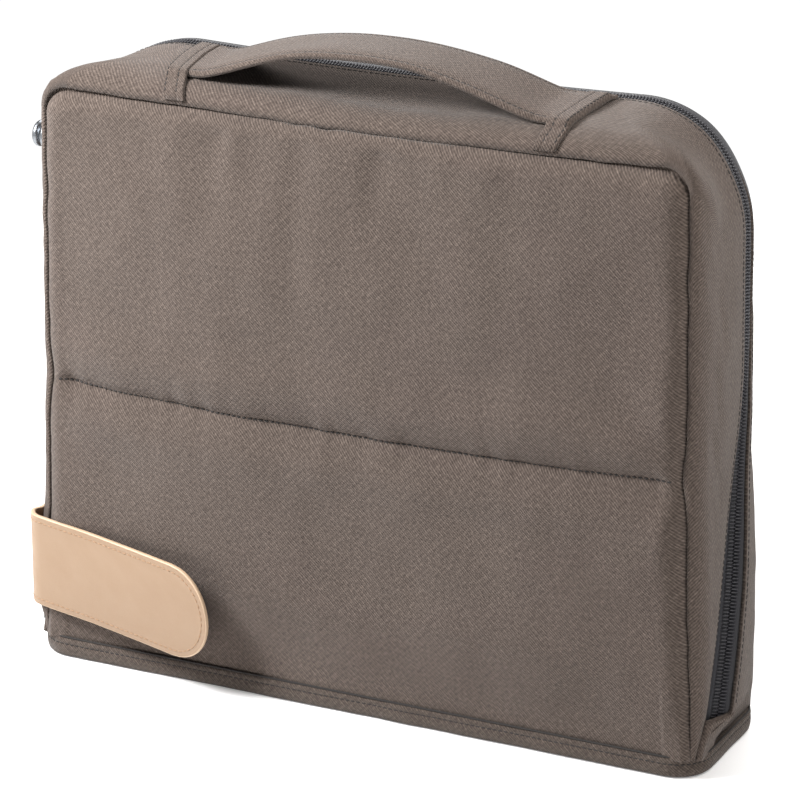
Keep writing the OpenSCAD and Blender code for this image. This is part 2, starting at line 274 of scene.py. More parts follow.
def capsules(name, centres, directions, ups, half_length, radius, height, materials):
    """Many small rounded bars in one mesh: stitches and zip teeth."""
    d = directions / np.linalg.norm(directions, axis=1, keepdims=True)
    side = np.cross(d, ups)
    side /= np.linalg.norm(side, axis=1, keepdims=True)
    up = np.cross(side, d)
    angles = np.arange(CAPSULE_SIDES) * 2 * math.pi / CAPSULE_SIDES
    rings = []
    for place, scale in CAPSULE_RINGS:
        middle = centres + d * place * half_length
        for angle in angles:
            rings.append(middle + side * (math.cos(angle) * radius * scale)
                         + up * (math.sin(angle) * height * scale))
    verts = np.stack(rings, 1)
    per = verts.shape[1]
    faces = []
    for ring in range(len(CAPSULE_RINGS) - 1):
        for k in range(CAPSULE_SIDES):
            a = ring * CAPSULE_SIDES + k
            b = ring * CAPSULE_SIDES + (k + 1) % CAPSULE_SIDES
            faces.append([a, b, b + CAPSULE_SIDES, a + CAPSULE_SIDES])
    faces = np.array(faces)
    starts = (np.arange(len(centres)) * per)[:, None, None]
    quads = (faces[None] + starts).reshape(-1, 4).tolist()
    first = np.arange(CAPSULE_SIDES)[::-1]
    last = per - CAPSULE_SIDES + np.arange(CAPSULE_SIDES)
    ends = [(first + s).tolist() for s in starts.ravel()] + [(last + s).tolist() for s in starts.ravel()]
    along = np.arange(len(centres)) * half_length * 2.2
    uvs = np.repeat(np.stack([along, np.zeros(len(centres))], 1), per, 0)
    return build(name, verts.reshape(-1, 3), quads + ends, uvs, None, materials)


def stations(points, pitch):
    """Distances along a polyline: of its own points, and of places pitch apart."""
    steps = np.linalg.norm(np.diff(points, axis=0), axis=1)
    distance = np.concatenate([[0], np.cumsum(steps)])
    count = max(int(distance[-1] / pitch), 1)
    return distance, (np.arange(count) + 0.5) * distance[-1] / count


def read_at(places, distance, values):
    """Three-part values given at distance, read off at places."""
    return np.stack([np.interp(places, distance, values[:, k]) for k in range(3)], 1)


def resample(points, pitch):
    """Points spaced pitch apart along a polyline, with the unit directions there."""
    distance, at = stations(points, pitch)
    direction = read_at(at + 0.3, distance, points) - read_at(at - 0.3, distance, points)
    direction /= np.linalg.norm(direction, axis=1, keepdims=True)
    return read_at(at, distance, points), direction


def stitch_line(name, points, normals, material, pitch=2.8, length=2.0, width=0.42):
    """A row of stitches along a line of surface points."""
    placed, direction = resample(points, pitch)
    distance, at = stations(points, pitch)
    up = read_at(at, distance, normals)
    up /= np.linalg.norm(up, axis=1, keepdims=True)
    return capsules(name, placed, direction, up, length / 2, width, width * 0.8, [material])


# ---- Materials ----
class Nodes:
    """Adds nodes to one material and links them, so that each material stays short."""

    def __init__(self, name):
        self.material = bpy.data.materials.new(name)
        self.material.use_nodes = True
        self.tree = self.material.node_tree
        self.shader = self.tree.nodes["Principled BSDF"]

    def add(self, kind, inputs=None, **settings):
        node = self.tree.nodes.new(kind)
        for key, value in settings.items():
            setattr(node, key, value)
        for key, value in (inputs or {}).items():
            self.put(node.inputs[key], value)
        return node

    def put(self, socket, value):
        if isinstance(value, bpy.types.NodeSocket):
            self.tree.links.new(value, socket)
        else:
            socket.default_value = value

    def math(self, operation, a, b=0.0):
        return self.add("ShaderNodeMath", {0: a, 1: b}, operation=operation).outputs[0]

    def mix(self, factor, a, b):
        """Blends colour a into colour b."""
        return self.add("ShaderNodeMix", {0: factor, 6: a, 7: b}, data_type="RGBA").outputs[2]

    def remap(self, value, low, high, out_low, out_high):
        inputs = {0: value, 1: low, 2: high, 3: out_low, 4: out_high}
        return self.add("ShaderNodeMapRange", inputs).outputs[0]

    def scaled(self, colour, tone):
        node = self.add("ShaderNodeVectorMath", {0: colour, "Scale": tone}, operation="SCALE")
        return node.outputs[0]

    def noise(self, vector, scale, detail=2.0, rough=0.5):
        node = self.add("ShaderNodeTexNoise",
                        {"Vector": vector, "Scale": scale, "Detail": detail, "Roughness": rough})
        return node.outputs["Fac"]

    def stretched(self, vector, x, y, z=1.0):
        return self.add("ShaderNodeMapping", {"Vector": vector, "Scale": (x, y, z)}).outputs[0]

    def bump(self, height, strength, distance):
        inputs = {"Height": height, "Strength": strength, "Distance": distance}
        return self.add("ShaderNodeBump", inputs).outputs[0]

    def shade(self, **sockets):
        """Sets shader sockets, named with _ for a space, and hands over the material."""
        for name, value in sockets.items():
            self.put(self.shader.inputs[name.replace("_", " ")], value)
        return self.material


def rgb(red, green, blue):
    """An sRGB colour 0..255 as linear RGBA."""
    def linear(c):
        c /= 255
        return c / 12.92 if c <= 0.04045 else ((c + 0.055) / 1.055) ** 2.4
    return (linear(red), linear(green), linear(blue), 1.0)


def woven(name, dark, middle, light, pitch=0.00105, depth=0.00025):
    """Twill of melange yarns: fine diagonal ribs whose yarns change tone along their length, with painted
    light and shade on the ribs.
    """
    n = Nodes(name)
    uv = n.add("ShaderNodeUVMap").outputs[0]
    diagonal = n.add("ShaderNodeMapping", {"Vector": uv, "Rotation": (0, 0, math.radians(45))}).outputs[0]
    split = n.add("ShaderNodeSeparateXYZ", {0: diagonal})
    drift = n.math("MULTIPLY", n.noise(uv, 60.0, 2.0, 0.5), 9.0)
    turn = 2 * math.pi / pitch
    ribs = n.math("SINE", n.math("ADD", n.math("MULTIPLY", split.outputs[1], turn), drift))
    floats = n.math("SINE", n.math("MULTIPLY", split.outputs[0], turn * 0.55))
    raised = n.math("ADD", ribs, n.math("MULTIPLY", floats, 0.35))
    yarn = n.noise(n.stretched(diagonal, 0.45 / pitch, 1.0 / pitch), 1.0, 1.0, 0.5)
    ramp = n.add("ShaderNodeValToRGB", {0: n.remap(yarn, 0.2, 0.8, 0.0, 1.0)})
    ramp.color_ramp.elements[0].color = dark
    ramp.color_ramp.elements[1].color = light
    ramp.color_ramp.elements.new(0.5).color = middle
    cloudy = n.remap(n.noise(uv, 45.0, 4.0, 0.6), 0.3, 0.7, 0.95, 1.05)
    # Painted light and shade: the colour is lighter on the raised ribs and darker in the grooves between
    # them.
    rib_light_and_shade = n.remap(raised, -1.35, 1.35, 0.62, 1.35)
    colour = n.scaled(ramp.outputs[0], n.math("MULTIPLY", cloudy, rib_light_and_shade))
    height = n.math("ADD", n.math("MULTIPLY", raised, 0.5), n.math("MULTIPLY", yarn, 0.5))
    return n.shade(Base_Color=colour, Roughness=0.92, Sheen_Weight=0.1, Sheen_Roughness=0.5,
                   Normal=n.bump(height, 0.7, depth), Specular_IOR_Level=0.15)


def leather(name, base, shade, light, grain=0.00012):
    """Smooth tanned leather: faint pores, soft mottling and a satin surface."""
    n = Nodes(name)
    uv = n.add("ShaderNodeUVMap").outputs[0]
    mottled = n.noise(uv, 60.0, 4.0, 0.6)
    pores = n.add("ShaderNodeTexVoronoi", {"Vector": uv, "Scale": 1500.0}).outputs["Distance"]
    fibres = n.noise(uv, 900.0, 2.0, 0.5)
    tone = n.remap(mottled, 0.3, 0.7, 0.0, 1.0)
    colour = n.mix(n.math("MULTIPLY", tone, 0.7), base, shade)
    colour = n.mix(n.math("MULTIPLY", fibres, 0.25), colour, light)
    height = n.math("ADD", n.math("MULTIPLY", pores, 0.7), n.math("MULTIPLY", fibres, 0.4))
    rough = n.remap(mottled, 0.3, 0.7, 0.46, 0.58)
    return n.shade(Base_Color=colour, Roughness=rough, Normal=n.bump(height, 0.35, grain))


def metal(name, colour, rough):
    """Plated metal with fine handling marks."""
    n = Nodes(name)
    place = n.add("ShaderNodeTexCoord").outputs["Object"]
    marks = n.noise(n.stretched(place, 1.0, 1.0, 6.0), 700.0, 3.0, 0.6)
    roughness = n.remap(marks, 0.3, 0.7, rough - 0.07, rough + 0.1)
    tone = n.mix(n.math("MULTIPLY", marks, 0.3), colour, (0.5, 0.5, 0.52, 1))
    return n.shade(Base_Color=tone, Metallic=1.0, Roughness=roughness,
                   Normal=n.bump(marks, 0.15, 0.00005))


def moulded(name, colour, rough, scale=900.0):
    """Nylon or board: dark, slightly uneven."""
    n = Nodes(name)
    place = n.add("ShaderNodeTexCoord").outputs["Object"]
    uneven = n.noise(place, scale, 3.0, 0.6)
    tone = n.mix(n.math("MULTIPLY", uneven, 0.5), colour, tuple(c * 1.8 for c in colour[:3]) + (1,))
    return n.shade(Base_Color=tone, Roughness=rough, Normal=n.bump(uneven, 0.3, 0.00008))


def ribbed_tape(name, colour, pitch=0.0006):
    """Zip tape: a tight herringbone of dark yarn, with painted light and shade on its ribs."""
    n = Nodes(name)
    uv = n.add("ShaderNodeUVMap").outputs[0]
    split = n.add("ShaderNodeSeparateXYZ", {0: uv})
    turn = 2 * math.pi / pitch
    zigzag = n.math("PINGPONG", split.outputs[1], pitch * 2)
    ribs = n.math("SINE", n.math("MULTIPLY", n.math("ADD", split.outputs[0], zigzag), turn))
    # Painted light and shade: the tape's colour is lighter on the ribs and darker between them.
    shade = n.scaled(colour[:3], n.remap(ribs, -1.0, 1.0, 0.6, 1.5))
    return n.shade(Base_Color=shade, Roughness=0.85, Sheen_Weight=0.1, Normal=n.bump(ribs, 0.5, 0.00012))


fabric = woven("melange_fabric", rgb(65, 56, 51), rgb(81, 71, 65), rgb(98, 87, 80))
binding = woven("binding_fabric", rgb(61, 52, 48), rgb(76, 67, 61), rgb(93, 83, 76))
lining = woven("lining_fabric", rgb(120, 114, 104), rgb(134, 128, 117), rgb(150, 144, 133),
               pitch=0.0012, depth=0.00015)
# The shells' rims: the same fabric painted darker, as painted shade at the seams and folded edges.
rim_shade = woven("rim_shade_fabric", rgb(52, 45, 41), rgb(68, 60, 55), rgb(84, 76, 70))
# Stitches: a dark colour, painted darker still to stand in for the shade in the stitch dimples; the
# painted seam shadow cord of the base uses it too.
thread_and_shade = moulded("thread_and_shade", rgb(30, 26, 24), 0.8, 3000.0)
tan = leather("tan_leather", rgb(139, 115, 92), rgb(134, 109, 86), rgb(144, 121, 99))
tan_back = leather("tan_leather_back", rgb(162, 132, 104), rgb(152, 121, 93), rgb(172, 143, 116), 0.0002)
tan_edge = leather("tan_leather_edge", rgb(186, 160, 134), rgb(176, 147, 119), rgb(192, 168, 143))
# Belt stitches: painted a little darker than the leather to stand in for the shade in their pits.
tan_thread_and_shade = moulded("tan_thread_and_shade", rgb(134, 106, 81), 0.7, 3000.0)
tape_cloth = ribbed_tape("zip_tape_cloth", rgb(36, 36, 41))
board_grey = moulded("board_grey", rgb(62, 58, 54), 0.6)
coil_nylon = moulded("coil_nylon", rgb(40, 39, 44), 0.36)
gunmetal = metal("gunmetal", rgb(116, 120, 124), 0.34)

# Outer face, inner face and rim of a shell
CLOTH = [fabric, lining, rim_shade]
LINING_CLOTH = [lining] * 3


def finish_piece(obj, body, slot, *nodes):
    """Rides obj on its CAD body, in place of the named CAD nodes."""
    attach(obj, body)
    if nodes:
        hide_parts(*nodes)
    return obj


def sew(body, name, points, normals):
    """A row of stitches that rides on body; their colour is painted darker as the shade of their dimples.
    """
    finish_piece(stitch_line(name, points, normals, thread_and_shade), body, "binding_fabric")


def bend_at_fold(obj, slot, *nodes):
    """For cloth that joins the body at the foot and the cover above the front fold line; it only bakes
    the transform in place and hides the named CAD nodes, and nothing bends it at the fold.
    """
    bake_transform(obj)
    if nodes:
        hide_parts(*nodes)
    return obj


# ---- Surfaces of the walls ----
def edge_drop(distance, width, amount):
    """A quarter-round edge: amount at the seam, none at width away from it."""
    q = np.clip(1 - distance / width, 0, 1)
    return amount * (1 - np.sqrt(1 - q * q))


TOP_SEAM_DROP = 11.0            # the front seam runs this far below the top
EDGE_ROUND = 11.0
BELLY = 3.6                     # the soft walls swell out this much low down
CREST = 3.2                     # the top rises this much towards the zip
SLIDER_ROOM = 1.0               # the left gusset's edge keeps this much away from the slider
ZIP_DIP = 2.6                   # low down, the zip's front edge lies this much inside the wall


def seam_inset(z):
    """How far inside the side wall the front seam runs; the quilting row pulls it in."""
    z = np.asarray(z, float)
    pinch = 1.8 * np.exp(-((z - QUILT_H - 4) / 13) ** 2)
    ripple = smooth_noise(z / 13, 0 * z, 201) * 0.35
    return 5.0 - 2.2 * smooth((100 - z) / 90) + pinch + ripple * smooth((z - 14) / 10)


def top_ripple(x):
    """Unevenness of the front panel's top seam at x."""
    x = np.asarray(x, float)
    return smooth_noise(x / 15, 0 * x, 211) * 0.5


def belly(z):
    """Outward swell of the side walls at height z; it fades into the base binding."""
    z = np.asarray(z, float)
    return (1.3 + BELLY * smooth((150 - z) / 110)) * smooth((z - FOOT_H + 1) / 20)


def on_right(share):
    """0 on the left half of the outline and 1 on the right half, blended along the top."""
    return smooth((np.asarray(share, float) - 0.4) / 0.2)


def side_swell(y, z, share, t):
    """Outward swell of the walls: over the whole right wall, but flat at the zip on the left."""
    depth = np.clip((y - SEAM_Y) / (BACK_SEAM_Y - SEAM_Y), 0, 1)
    whole = np.sin(math.pi * depth) ** 0.6
    apart = np.sin(math.pi * np.clip(t, 0, 1)) ** 1.6
    return belly(z) * (apart + (whole - apart) * on_right(share))


def crest(z):
    """The soft top rises this much towards the zip."""
    return CREST * smooth((np.asarray(z, float) - 262) / 26)


def low_zip(z, share):
    """1 where the zip slants down the lower right side, 0 near the top, at its end and on the left."""
    z = np.asarray(z, float)
    return smooth((190 - z) / 110) * smooth((z - ZIP_END_H + 14) / 16) * on_right(share)


def cover_corner_r(t):
    """Radius of the cover's top corners, growing from the front seam to the zip."""
    return SEAM_CORNER_R + (ZIP_CORNER_R - SEAM_CORNER_R) * (1 - (1 - np.clip(t, 0, 1)) ** 3)


def cover_gusset_point(share, t):
    """Points of the cover's gusset: t is 0 at the front seam and 1 at the zip."""
    share, t = np.broadcast_arrays(np.asarray(share, float), np.asarray(t, float))
    _, mid_z = outline(share, 2.0, 2.0, (SEAM_CORNER_R + ZIP_CORNER_R) / 2)
    rear = zip_depth(mid_z) - ZIP_HALF - SLIDER_ROOM * (1 - on_right(share))
    y = SEAM_Y + (rear - SEAM_Y) * t
    depth = y - SEAM_Y
    hump = np.sin(math.pi * np.clip(t, 0, 1))
    inset_top = edge_drop(depth, EDGE_ROUND + 3, TOP_SEAM_DROP) - 0.5 * hump
    corner_r = cover_corner_r(t)
    _, height = outline(share, 0.0, inset_top, corner_r)
    inset_side = edge_drop(depth, EDGE_ROUND, seam_inset(height)) - side_swell(y, height, share, t)
    inset_side = inset_side + ZIP_DIP * low_zip(height, share) * t ** 3
    inset_side = inset_side + SLIDER_ROOM * (1 - on_right(share)) * smooth((t - 0.6) / 0.4)
    x, z = outline(share, inset_side, inset_top, corner_r)
    z = z - top_ripple(x) * (1 - t) ** 3 * smooth((z - 250) / 25)
    dip = 3.0 * np.sin(math.pi * t) * smooth(1.25 - np.abs(x) / 84) * smooth((z - 270) / 14)
    z = z - sag(x, z) - dip + crest(z) * smooth(t)
    return np.stack([x, y, z], -1)


def top_share(x, t):
    """The outline share at which the top of the gusset reaches x."""
    corner_r = cover_corner_r(t)
    flat_x = half_width(HEIGHT - corner_r) - corner_r
    run = 0.5 - SIDE_SHARE - CORNER_SHARE
    share = SIDE_SHARE + CORNER_SHARE + (1 - np.abs(x) / flat_x) * run
    return np.where(x < 0, share, 1 - share)


BACK_ROUND_R = 22.0             # rounding between the top and the back panel
BACK_CORNER_R = 36.0            # the back panel's top corners


def back_seam_inset(z):
    """How far inside the side wall the back seam runs."""
    return seam_inset(z) + 4.0 * smooth((np.asarray(z, float) - 190) / 60)


def zip_tilt(z, share):
    """How much further out the zip's rear edge stands than its front edge."""
    return 5.0 * low_zip(z, share)


def body_gusset_point(share, t):
    """Points of the fixed gusset: t is 0 at the zip and 1 at the back seam."""
    share, t = np.broadcast_arrays(np.asarray(share, float), np.asarray(t, float))
    _, mid_z = outline(share, 2.0, 2.0, ZIP_CORNER_R)
    start = zip_depth(mid_z) + ZIP_HALF
    start = start - 2 * (ZIP_HALF - 0.3) * smooth((ZIP_END_H - mid_z) / 6)
    y = start + (BACK_SEAM_Y - start) * t
    fall = np.clip(BACK_ROUND_R - (BACK - y), 0, BACK_ROUND_R)
    inset_top = BACK_ROUND_R - np.sqrt(BACK_ROUND_R ** 2 - fall ** 2)
    corner_r = ZIP_CORNER_R - (ZIP_CORNER_R - BACK_CORNER_R) * smooth((t - 0.4) / 0.6)
    _, height = outline(share, 0.0, inset_top, corner_r)
    inset_side = edge_drop(BACK_SEAM_Y - y, EDGE_ROUND + 4, back_seam_inset(height))
    drawn_in = back_seam_inset(height) * np.clip(t, 0, 1) ** 1.15
    upper = smooth((height - 185) / 60)
    inset_side = inset_side * (1 - upper) + drawn_in * upper
    inset_side = inset_side - side_swell(y, height, share, t) - zip_tilt(height, share) * smooth(1 - t)
    x, z = outline(share, inset_side, inset_top, corner_r)
    z = z - sag(x, z) + crest(z) * smooth(1 - t)
    return np.stack([x, y, z], -1)


def wrinkled(points, amount, cell_u, cell_v, seed, hold):
    """Moves a grid along its normals by seeded noise, in millimetres, where hold is above 0."""
    uv = grid_uv(points)
    bumps = smooth_noise(uv[..., 0] / cell_u, uv[..., 1] / cell_v, seed) * amount * hold
    return points + grid_normals(points) * bumps[..., None]


def spaced(low, high, count, crowd=0.0):
    """Values from low to high, closer together near both ends by crowd 0..1."""
    t = np.linspace(0, 1, count)
    eased = 0.5 - 0.5 * np.cos(math.pi * t)
    return low + (high - low) * (t * (1 - crowd) + eased * crowd)


# ---- Front panel ----
def panel_top(x, top, inset, corner_r):
    """Height of a panel's top edge at x, with its rounded corners."""
    corner_x = half_width(top) - inset(top) - corner_r
    over = np.clip(np.abs(x) - corner_x, 0, corner_r)
    z = top - corner_r + np.sqrt(corner_r ** 2 - over ** 2)
    return z - sag(x, z)


def panel_half(z, inset):
    """Half of a panel's width at height z."""
    z = np.minimum(z, HEIGHT)
    return half_width(z) - inset(z)


def seam_outline_top(x):
    """Height of the front panel's top edge at x."""
    return panel_top(x, HEIGHT - TOP_SEAM_DROP, seam_inset, SEAM_CORNER_R) - top_ripple(x)


def front_seam_half(z):
    """Half of the front panel's width at height z."""
    return panel_half(z, seam_inset)


def panel_grid(rows, columns, half, top_of):
    """x and z of a panel that stands on the foot line and follows a rounded top edge."""
    a = spaced(-1, 1, columns, 0.55)[None, :]
    b = spaced(0, 1, rows, 0.35)[:, None]
    z = FOOT_H + b * (HEIGHT * 0.95 - FOOT_H)
    for _ in range(4):
        x = a * half(z)
        z = FOOT_H + b * (top_of(x) - FOOT_H)
    return a * half(z), z


def border_distance(x, z, half, top, corner_r):
    """Distance inside a panel's sides and rounded top."""
    dx = np.abs(x) - (half(z) - corner_r)
    dz = z - (top - corner_r)
    inside = np.minimum(np.maximum(dx, dz), 0)
    return corner_r - inside - np.hypot(np.maximum(dx, 0), np.maximum(dz, 0))


def quilt_height(x):
    """The quilting row sags a little at mid-width."""
    return QUILT_H + 0.5 + 3.0 * (x / 160) ** 2


# Soft folds that hang from the top seam: place across, width, reach down and depth
DIMPLES = ((-66, 6, 26, 1.6), (-58, 4, 18, -0.8), (-22, 8, 60, 1.3), (14, 7, 34, 1.2), (52, 9, 46, 0.9),
           (104, 8, 38, 1.0), (-112, 9, 40, 0.8))


def front_panel_points(rows=210, columns=230):
    """The front panel's outer face: crowned pads above and below the quilting, with folds."""
    x, z = panel_grid(rows, columns, front_seam_half, seam_outline_top)
    d = border_distance(x, z, front_seam_half, HEIGHT - TOP_SEAM_DROP - TOP_SAG * 0.6, SEAM_CORNER_R)
    d = np.maximum(d, 0)
    lower = np.clip((z - FOOT_H) / 48, 0, 1)
    crown = 4.8 * (1 - (1 - np.clip(d / 10, 0, 1)) ** 2.4) + 3.6 * smooth(d / 80)
    foot = 2.4 + (crown - 2.4) * smooth(lower)
    crown = np.where(d > 12, foot, np.minimum(crown, foot + 0.6))
    off = np.abs(z - quilt_height(x))
    groove = 4.2 * np.exp(-(off / 8.5) ** 1.1) + 1.2 * np.exp(-(off / 1.6) ** 2)
    swell = 1.5 * np.exp(-((off - 17) / 12) ** 2)
    crown = crown - groove * smooth(d / 12) + swell * smooth(d / 30)
    pucker = np.exp(-off / 9) * smooth_noise(x / 7, z / 60, 11, 1) * 0.75
    below_top = seam_outline_top(x) - z
    hang = np.exp(-below_top / 60) * smooth_noise(x / 30, z / 130, 23) * 2.6
    middle = smooth(1.3 - np.abs(x) / 110)
    for place, width, reach, deep in DIMPLES:
        shape = np.exp(-((x - place + 0.12 * below_top) / width) ** 2)
        hang = hang - deep * shape * smooth(below_top / 10) * np.exp(-(below_top / reach) ** 2)
    broad = smooth_noise(x / 62, z / 70, 31) * 1.5
    fine = smooth_noise(x / 17, z / 24, 47) * 0.3
    from_corner = np.arctan2(z - quilt_height(x), half_width(z) - x + 12)
    near_corner = np.exp(-np.hypot(z - quilt_height(x), half_width(z) - x) / 42)
    crease = np.sin(from_corner * 7.0 + 0.6) * near_corner * 1.6
    hold = smooth(d / 12) * (0.35 + 0.65 * smooth((z - FOOT_H) / 25))
    crown = crown + (pucker + hang * (0.4 + 0.6 * middle) + broad + fine + crease) * hold
    y = SEAM_Y + 2.0 * np.exp(-d / 1.8) * smooth((z - FOOT_H) / 18) - crown
    return np.stack([x, y, z], -1)


def make_front_panel():
    """The quilted front, in one piece from the base to the top seam."""
    points = front_panel_points()
    uv = np.stack([points[..., 0], points[..., 2]], 2)
    obj = shell("front_panel_quilted", points, WALL_T, (0, -1, 0), CLOTH, uv)
    return bend_at_fold(obj, "woven_fabric", "front_panel", "front_lip",
                        "front_foam_upper", "front_foam_lower"), points


def make_cover_gusset():
    """The cover's sides and top, from the front seam to the zip."""
    share = spaced(0, 1, 460)[:, None]
    t = spaced(0, 1, 44, 0.5)[None, :]
    points = cover_gusset_point(share, t)
    hold = np.sin(math.pi * np.clip(t, 0, 1)) ** 1.3 * np.ones_like(share)
    points = wrinkled(points, 0.9, 34, 22, 61, hold)
    points = wrinkled(points, 0.2, 11, 9, 67, hold)
    near_seam = np.exp(-t * 9) * smooth(t * 12) * np.ones_like(share)
    points = wrinkled(points, 0.45, 6.5, 40, 71, near_seam)
    thickness = EDGE_T + (WALL_T - EDGE_T) * smooth((1 - t) / 0.22) * smooth((t + 0.12) / 0.2)
    obj = shell("cover_gusset_cloth", points, thickness * np.ones_like(share), (0, 0, 1), CLOTH)
    return bend_at_fold(obj, "woven_fabric", "cover_gusset", "cover_gusset_foam", "cover_lining"), points


def make_body_gusset():
    """The fixed sides and top, from the zip to the back seam."""
    share = spaced(0, 1, 460)[:, None]
    t = spaced(0, 1, 36, 0.4)[None, :]
    points = body_gusset_point(share, t)
    hold = np.sin(math.pi * np.clip(t, 0, 1)) ** 0.6 * np.ones_like(share)
    points = wrinkled(points, 0.8, 36, 24, 83, hold)
    points = wrinkled(points, 0.2, 12, 9, 89, hold)
    thickness = EDGE_T + (WALL_T - EDGE_T) * smooth(t / 0.25) * smooth((1.12 - t) / 0.2)
    obj = shell("body_gusset_cloth", points, thickness * np.ones_like(share), (0, 0, 1), CLOTH)
    return finish_piece(obj, "bag", "woven_fabric", "body_gusset", "body_foam", "body_lining"), points


BACK_TOP_DROP = BACK_ROUND_R - math.sqrt(BACK_ROUND_R ** 2 - (BACK_ROUND_R - BACK_SEAM_IN) ** 2)


def back_outline_top(x):
    """Height of the back panel's top edge at x."""
    return panel_top(x, HEIGHT - BACK_TOP_DROP, back_seam_inset, BACK_CORNER_R)


def back_seam_half(z):
    """Half of the back panel's width at height z."""
    return panel_half(z, back_seam_inset)


def make_back_panel():
    """The plain padded back."""
    x, z = panel_grid(130, 150, back_seam_half, back_outline_top)
    d = np.maximum(border_distance(x, z, back_seam_half, HEIGHT - BACK_TOP_DROP, BACK_CORNER_R), 0)
    crown = 2.6 * (1 - (1 - np.clip(d / 14, 0, 1)) ** 2.2)
    crown = np.where(z < FOOT_H + 16, np.minimum(crown, 2.2), crown)
    hold = smooth(d / 12) * smooth((z - FOOT_H) / 25)
    folds = smooth_noise(x / 60, z / 80, 97) * 0.8 + smooth_noise(x / 19, z / 26, 101) * 0.2
    crown = crown + folds * hold
    y = BACK_SEAM_Y - 1.0 * np.exp(-d / 1.6) * smooth((z - FOOT_H) / 18) + crown
    points = np.stack([x, y, z], -1)
    uv = np.stack([x, z], 2)
    obj = shell("back_panel_cloth", points, WALL_T, (0, 1, 0), CLOTH, uv)
    return finish_piece(obj, "bag", "woven_fabric", "back_panel")


front_obj, front_points = make_front_panel()
cover_obj, cover_points = make_cover_gusset()
body_obj, body_points = make_body_gusset()
make_back_panel()


# ---- Zip ----
def zip_frames(low_z, step=1.0):
    """Centre, direction, outward normal and rearward direction along the zip, left end to right."""
    corner_z = HEIGHT - ZIP_CORNER_R
    first = SIDE_SHARE * (low_z - FOOT_H) / (corner_z - FOOT_H)
    share = np.linspace(first, 1 - first, 1400)
    x, z = outline(share, 0.0, 0.2, ZIP_CORNER_R)
    y = zip_depth(z)
    x, z = outline(share, 0.4 - side_swell(y, z, share, 0.0), 0.2, ZIP_CORNER_R)
    line = np.stack([x, y, z - sag(x, z) + crest(z)], -1)
    centres, along = resample(line, step)
    middle = np.array([0, 0, HEIGHT * 0.45])
    across = np.cross(along, np.cross(np.array([0.0, 1.0, 0.0]), along))
    outward = np.cross(along, np.array([0.0, 1.0, 0.0]))
    outward /= np.linalg.norm(outward, axis=1, keepdims=True)
    flip = np.sign(np.sum(outward * (centres - middle) * [1, 0, 1], axis=1, keepdims=True))
    outward = outward * flip
    rear = across / np.linalg.norm(across, axis=1, keepdims=True)
    side_share = 0.5 + 0.5 * np.sign(centres[:, 0:1])
    low = low_zip(centres[:, 2:3], side_share)
    rise = zip_tilt(centres[:, 2:3], side_share)
    centres = centres + outward * (rise - ZIP_DIP * low) / 2
    turn = np.arctan2(rise + ZIP_DIP * low, 2 * ZIP_HALF)
    tilted = rear * np.cos(turn) + outward * np.sin(turn)
    return centres, along, outward * np.cos(turn) - rear * np.sin(turn), tilted


TAPE_DEPTH = 1.0                # the tape's face lies this far under the gussets' edges
TAPE_T = 0.7
TAPE_GAP = 0.15                 # from the zip's middle to the edge of each tape
TAPE_REACH = 8.0                # from the zip's middle to under the gusset
COIL_PITCH = 1.6
TOOTH_HALF = 1.75
TOOTH_OFFSET = 1.7


def make_zip(side, body, tape_node, coil_node, stagger):
    """One half of the zip: side is -1 for the cover's half and 1 for the body's."""
    centres, along, outward, rear = zip_frames(ZIP_END_H - 4.0)
    middle = centres - outward * (TAPE_DEPTH + TAPE_T / 2)
    rings = []
    for across, lift in ((TAPE_GAP, -0.5), (TAPE_GAP, 0.5), (TAPE_REACH, 0.5), (TAPE_REACH, -0.5)):
        rings.append(middle + rear * side * across + outward * lift * TAPE_T)
    tape = tube(tape_node + "_cloth", np.stack(rings, 1), [tape_cloth])
    finish_piece(tape, body, "zip_tape", tape_node)
    centres, along, outward, rear = zip_frames(ZIP_END_H - 2.0, COIL_PITCH)
    shift = along * COIL_PITCH * stagger
    teeth = centres + shift + rear * side * TOOTH_OFFSET - outward * (TAPE_DEPTH - 0.35)
    coil = capsules(coil_node + "_turns", teeth, rear, outward, TOOTH_HALF, 0.36, 0.62, [coil_nylon])
    finish_piece(coil, body, "zip_coil", coil_node)


make_zip(-1, "cover", "cover_zip_tape", "cover_zip_coil", -0.25)
make_zip(1, "bag", "body_zip_tape", "body_zip_coil", 0.25)


PATCH_HALF = 8.5


def make_zip_end(side, name):
    """The cloth patch that closes the zip's lower end."""
    a = np.linspace(-1, 1, 25)
    z = spaced(FOOT_H, ZIP_END_H, 20)
    centre = zip_y(z)[None, :]
    y = centre + a[:, None] * PATCH_HALF
    edge = np.minimum(1 - np.abs(a)[:, None], (ZIP_END_H - z)[None, :] / 6)
    lift = -0.6 + 2.2 * np.sqrt(np.clip(edge * 5, 0, 1)) * np.ones_like(y)
    share = (side + 1) / 2
    lift = lift + side_swell(y, z[None, :], share, 0.0)
    lift = lift + zip_tilt(z, share)[None, :] * (a[:, None] + 1) / 2
    points = np.stack([side * (half_width(z)[None, :] + lift), y, z[None, :] * np.ones_like(y)], -1)
    patch = shell(name + "_patch", points, 1.6, (side, 0, 0), [fabric, lining, fabric])
    finish_piece(patch, "bag", "woven_fabric", name)


make_zip_end(-1, "zip_end_left")
make_zip_end(1, "zip_end_right")


# ---- Base ----
PLAN_CORNER_R = 17.0
BASE_PROUD = 1.6                # the binding stands out this much at the side walls


